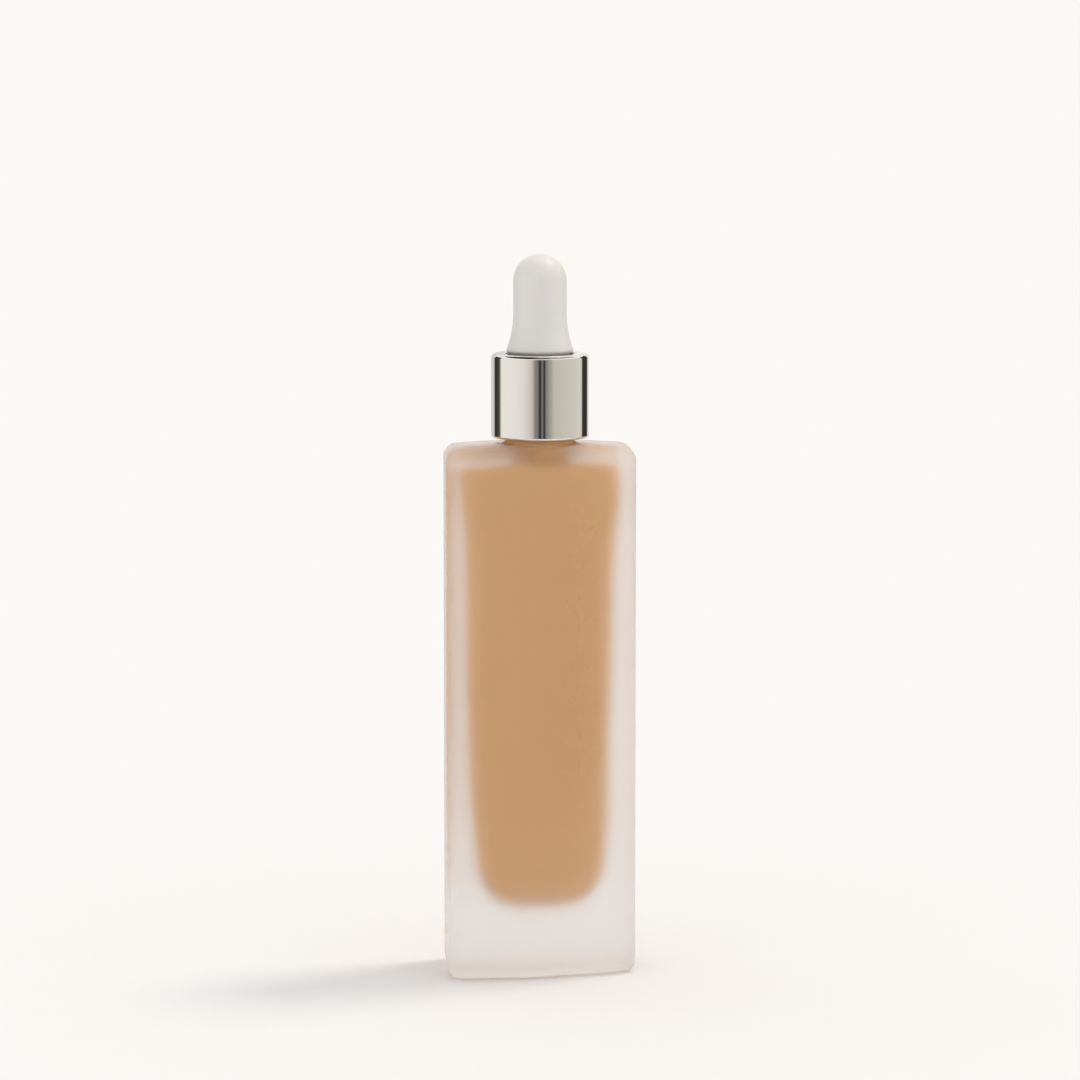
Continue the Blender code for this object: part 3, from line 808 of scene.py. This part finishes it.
insert = {
    "outer": insertHigh.x / mm,
    "bottom": insertLow.z / mm,
    "top": insertHigh.z / mm,
    "wall": 0.65,
    "ceiling": 1.0,
    "hole": collar["hole"],
    "threadHeight": 0.35,
    "wallPitch": 0.2,
    "steps": 144,
}


def mouldedPlastic(name, colour, roughness, grain):
    # injection moulded, natural or white: a soft sheen with a fine moulded grain
    material, tree, shader, place = newMaterial(name, {
        "Base Color": linear(colour), "Subsurface Weight": 0.15, "Subsurface Scale": 1 * mm})
    cloud = addNode(tree, "ShaderNodeTexNoise", inputs={"Scale": 1 / (3 * mm), "Detail": 2},
                    links={"Vector": place})
    rough = addNode(tree, "ShaderNodeMapRange",
                    inputs={"To Min": roughness - 0.05, "To Max": roughness + 0.05},
                    links={"Value": cloud.outputs[0]})
    fine = addNode(tree, "ShaderNodeTexNoise", inputs={"Scale": 1 / (grain * mm), "Detail": 2},
                   links={"Vector": place})
    bump = addNode(tree, "ShaderNodeBump", inputs={"Strength": 0.15, "Distance": 0.02 * mm},
                   links={"Height": fine.outputs[0]})
    tree.links.new(rough.outputs[0], shader.inputs["Roughness"])
    tree.links.new(bump.outputs[0], shader.inputs["Normal"])
    return material


def buildInsert():
    look = insert
    plastic = mouldedPlastic("moulded_polypropylene", "#EDEDE9", 0.4, 0.25)
    inner = look["outer"] - look["wall"]
    under = look["top"] - look["ceiling"]
    low, high = look["bottom"] + 0.3, under - 0.3
    count = round((high - low) / look["wallPitch"])
    wall = [(inner, low + (high - low) * i / count) for i in range(count + 1)]
    profile = turnedProfile([(look["hole"], under, 0.1), (look["hole"], look["top"], 0.1),
                             (look["outer"], look["top"], 0.2), (look["outer"], look["bottom"], 0.1),
                             (inner, look["bottom"], 0.1), (inner, under, 0.0)], steps=3)
    profile = profile[:-1] + wall + profile[-1:]
    steps = look["steps"]
    around = [(math.cos(math.tau * i / steps), math.sin(math.tau * i / steps)) for i in range(steps)]
    loops = [[Vector((r * c, r * s, z)) * mm for c, s in around] for r, z in profile]
    screw = neckThread
    sizes = threadSizes(screw, inner, -look["threadHeight"], screw["pitch"] / 2)
    helix = helixMesh("insert_thread", sizes, plastic)

    def fromWall(point):
        flat = Vector((point.x, point.y, 0))
        return -flat.normalized() if abs(flat.length - inner * mm) < 0.01 * mm else None

    drape(loops, helix, look["bottom"] + 0.3, under - 0.1, fromWall)
    shape = bmesh.new()
    rings = [[shape.verts.new(point) for point in loop] for loop in loops]
    for one, two in zip(rings, rings[1:] + rings[:1]):
        for i in range(steps):
            j = (i + 1) % steps
            shape.faces.new((one[i], one[j], two[j], two[i]))
    obj = meshObject("threaded_insert", shape, plastic)
    finishPiece(obj, "collar", "collar_thread_insert")


buildInsert()

wiper = {
    "rim": wiperHigh.z / mm,
    "flangeBottom": wiperHigh.z / mm - 0.8,
    "bottom": wiperLow.z / mm,
    "flange": wiperHigh.x / mm,
    "tube": 4.9,
    "wall": 0.6,
    "lip": 3.4,
    "lipHeight": 0.6,
    "ribs": 3,
    "ribHeight": 0.22,
    "ribHalfWidth": 0.45,
    "firstRib": 1.6,              # below the flange
    "ribPitch": 2.0,
}


def buildWiper():
    look = wiper
    bore = look["tube"] - look["wall"]
    corners = [(bore, look["rim"], 0.25), (look["flange"], look["rim"], 0.25),
               (look["flange"], look["flangeBottom"], 0.15), (look["tube"], look["flangeBottom"], 0)]
    # low sealing ribs round the plug
    for i in range(look["ribs"]):
        middle = look["flangeBottom"] - look["firstRib"] - look["ribPitch"] * i
        corners += [(look["tube"], middle + look["ribHalfWidth"], 0),
                    (look["tube"] + look["ribHeight"], middle, 0.15),
                    (look["tube"], middle - look["ribHalfWidth"], 0)]
    corners += [(look["tube"], look["bottom"] + 0.8, 0.2), (look["tube"] - 0.5, look["bottom"], 0.15),
                (look["lip"], look["bottom"], 0.1), (look["lip"], look["bottom"] + look["lipHeight"], 0.1),
                (bore, look["bottom"] + 1.2, 0.3)]
    plastic = mouldedPlastic("natural_polyethylene", "#E6E7E2", 0.35, 0.2)
    obj = meshObject("neck_wiper_plug", turnedSkin(turnedProfile(corners, 3, 0.03), 96), plastic)
    finishPiece(obj, "bottle", "neck_wiper")


buildWiper()

washer = {
    "outer": washerHigh.x / mm,
    "hole": wiper["lip"],
    "bottom": washerLow.z / mm,
    "top": washerHigh.z / mm,
    "cell": 0.35,
    "light": "#F3F3F0",
    "dark": "#E2E2DE",
}


def foamedSheet():
    # closed-cell foamed polyethylene, die cut: soft white with fine cells on its cut edge
    material, tree, shader, place = newMaterial("foamed_polyethylene", {"Roughness": 0.7})
    cells = addNode(tree, "ShaderNodeTexVoronoi", inputs={"Scale": 1 / (washer["cell"] * mm)},
                    links={"Vector": place})
    tone = addNode(tree, "ShaderNodeMix", {"data_type": "RGBA"}, links={"Factor": cells.outputs["Distance"]})
    tone.inputs[6].default_value = linear(washer["light"])
    tone.inputs[7].default_value = linear(washer["dark"])
    tree.links.new(tone.outputs[2], shader.inputs["Base Color"])
    bump = addNode(tree, "ShaderNodeBump", inputs={"Strength": 0.3, "Distance": 0.05 * mm},
                   links={"Height": cells.outputs["Distance"]})
    tree.links.new(bump.outputs[0], shader.inputs["Normal"])
    return material


def buildWasher():
    look = washer
    profile = turnedProfile([(look["hole"], look["bottom"], 0.05), (look["outer"], look["bottom"], 0.12),
                             (look["outer"], look["top"], 0.12), (look["hole"], look["top"], 0.05)], 3, 0.02)
    obj = meshObject("foam_washer", turnedSkin(profile, 96), foamedSheet())
    finishPiece(obj, "washer", "sealing_washer")


buildWasher()

pipette = {
    "tip": pipetteLow.z / mm,
    "top": pipetteHigh.z / mm,
    "radius": 3.0,
    "wall": 0.9,
    "tipRadius": 1.5,
    "tipWall": 0.6,
    "taper": 12,
    "bead": 0.5,
    "beadBelowTop": 3.0,
    "beadLength": 1.4,
    "tipFlare": 0.3,              # how much wider the outside is a third of the way up the taper
    "tipBoreFlare": 0.2,
    "drawnTo": 62,                # how high the foundation stands inside it
    "drawnPress": 0.03,           # how far that reaches into the glass
    "meniscus": 0.5,
}


def clearGlass():
    # drawn borosilicate tube, fire polished: clear, with the slight waviness of drawn glass
    material, tree, shader, place = newMaterial("drawn_borosilicate_glass", {
        "Base Color": linear("#FDFEFD"), "Transmission Weight": 1.0, "IOR": 1.474})
    drawn = addNode(tree, "ShaderNodeMapping", inputs={"Scale": (1.0, 1.0, 0.15)}, links={"Vector": place})
    wave = addNode(tree, "ShaderNodeTexNoise", inputs={"Scale": 1 / (2.5 * mm), "Detail": 1},
                   links={"Vector": drawn.outputs[0]})
    rough = addNode(tree, "ShaderNodeMapRange", inputs={"To Min": 0.0, "To Max": 0.03},
                    links={"Value": wave.outputs[0]})
    bump = addNode(tree, "ShaderNodeBump", inputs={"Strength": 0.1, "Distance": 0.05 * mm},
                   links={"Height": wave.outputs[0]})
    tree.links.new(rough.outputs[0], shader.inputs["Roughness"])
    tree.links.new(bump.outputs[0], shader.inputs["Normal"])
    return material


def buildPipette():
    look = pipette
    bore = look["radius"] - look["wall"]
    tipBore = look["tipRadius"] - look["tipWall"]
    bead = look["top"] - look["beadBelowTop"]
    shoulder = look["tip"] + look["taper"]
    third = look["tip"] + look["taper"] / 3
    tipBoreAbove = tipBore + look["tipBoreFlare"]
    corners = [(tipBore, look["tip"], 0.1), (look["tipRadius"], look["tip"], 0.25),
               (look["tipRadius"] + look["tipFlare"], third, 4), (look["radius"], shoulder, 6),
               (look["radius"], bead, 0), (look["radius"] + look["bead"], bead + look["beadLength"] / 2, 0.5),
               (look["radius"], bead + look["beadLength"], 0), (look["radius"], look["top"], 0.3),
               (bore, look["top"], 0.3), (bore, shoulder, 4), (tipBoreAbove, third, 3)]
    profile = turnedProfile(corners, 8, 0.05)
    obj = meshObject("pipette_glass_tube", turnedSkin(profile, 72), clearGlass())
    finishPiece(obj, "pipette", "pipette_tube")
    # foundation drawn up inside the tube, a bead of it at the tip
    press, dip = look["drawnPress"], look["meniscus"]
    crown = [(0, look["tip"] + 0.2), (tipBore * 0.8, look["tip"] + 0.2)]
    inside = [(tipBore + press, look["tip"] + 0.3), (tipBoreAbove + press, third),
              (bore + press, shoulder), (bore + press, look["drawnTo"])]
    # a meniscus: the edge of the liquid creeps up the wall
    cup = [(bore * share, look["drawnTo"] - dip + dip * share ** 4) for share in (0.95, 0.8, 0.6, 0.3, 0.0)]
    drawn = meshObject("foundation_in_pipette", turnedSkin([*crown, *inside, *cup], 48),
                       foundationLiquid("foundation_drawn_up"))
    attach(drawn, "pipette")


buildPipette()

bulb = {
    "radius": 5.45,
    "top": bulbHigh.z / mm,
    "bottom": bulbLow.z / mm,
    "collarTop": collarHigh.z / mm,
    "skirt": 6.85,
    "flareFoot": 0.7,
    "flareHeight": 7.5,
    "flange": 8.2,
    "flangeHeight": 1.25,
    "wall": 1.3,
    "grip": pipetteHigh.z / mm,
    "travel": 3.0,
    "hole": 3.4,
    "room": 3.8,                  # the pocket that takes the pipette's bead
    "roomAboveGrip": 0.5,
    "roomDepth": 4.5,
    "roomLip": 0.6,
    "roomStep": 0.35,
    "curl": 1.0,                  # how far the skirt's lower edge tucks in
    "curlSquash": 0.8,
    "light": "#DDDCDA",
    "dark": "#D9D8D5",
}


def whiteRubber():
    # compression moulded white nitrile rubber: satin, with a fine grain, and a little light goes into it
    material, tree, shader, place = newMaterial("white_nitrile_rubber", {
        "Subsurface Weight": 0.2, "Subsurface Scale": 1.5 * mm})
    cloud = addNode(tree, "ShaderNodeTexNoise", inputs={"Scale": 1 / (5 * mm), "Detail": 2},
                    links={"Vector": place})
    tone = addNode(tree, "ShaderNodeMix", {"data_type": "RGBA"}, links={"Factor": cloud.outputs[0]})
    tone.inputs[6].default_value = linear(bulb["dark"])
    tone.inputs[7].default_value = linear(bulb["light"])
    tree.links.new(tone.outputs[2], shader.inputs["Base Color"])
    rough = addNode(tree, "ShaderNodeMapRange", inputs={"To Min": 0.38, "To Max": 0.46},
                    links={"Value": cloud.outputs[0]})
    tree.links.new(rough.outputs[0], shader.inputs["Roughness"])
    grain = addNode(tree, "ShaderNodeTexNoise", inputs={"Scale": 1 / (0.2 * mm), "Detail": 2},
                    links={"Vector": place})
    bump = addNode(tree, "ShaderNodeBump", inputs={"Strength": 0.06, "Distance": 0.02 * mm},
                   links={"Height": grain.outputs[0]})
    tree.links.new(bump.outputs[0], shader.inputs["Normal"])
    return material


def buildBulb():
    look = bulb
    hole, room, curl = look["hole"], look["room"], look["curl"]
    bore = look["radius"] - look["wall"]
    roomTop = look["grip"] + look["roomAboveGrip"]
    skirtFoot = look["collarTop"] + look["flareFoot"]
    # the skirt widens downwards in a parabola
    flare = [(look["radius"] + (look["skirt"] - look["radius"]) * (1 - i / 20) ** 2,
              skirtFoot + look["flareHeight"] * i / 20) for i in range(21)]
    cylinderFoot, cylinderTop = flare[-1][1], look["top"] - look["radius"]
    side = [(look["radius"], cylinderFoot + (cylinderTop - cylinderFoot) * i / 6) for i in range(1, 6)]
    dome = [(look["radius"] * cosine, cylinderTop + look["radius"] * sine) for cosine, sine in arc(20)]
    roof = [(bore * sine, look["top"] - look["wall"] - bore * (1 - cosine)) for cosine, sine in arc(10)]
    foot = turnedProfile([(hole, look["bottom"], 0.15), (look["flange"], look["bottom"], 0.25),
                          (look["flange"], look["bottom"] + look["flangeHeight"], 0.25)], 4, 0.03)
    # the skirt's lower edge is rounded and tucks in before it enters the collar
    neck = [(look["skirt"] - curl, look["bottom"] + look["flangeHeight"])]
    neck += [(look["skirt"] - curl * (1 - sine), skirtFoot - curl * cosine * look["curlSquash"])
             for cosine, sine in arc(6)]
    roomFoot = roomTop - look["roomDepth"]
    inside = [(bore, roomTop + look["roomStep"]), (room, roomTop), (room, roomFoot),
              (hole, roomFoot - look["roomLip"])]
    profile = [*foot, *neck, *flare, *side, *dome, *roof, *inside]
    obj = meshObject("rubber_bulb", turnedSkin(profile, 128), whiteRubber())
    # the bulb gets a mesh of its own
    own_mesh(obj)
    finishPiece(obj, "collar", "dropper_bulb")


buildBulb()
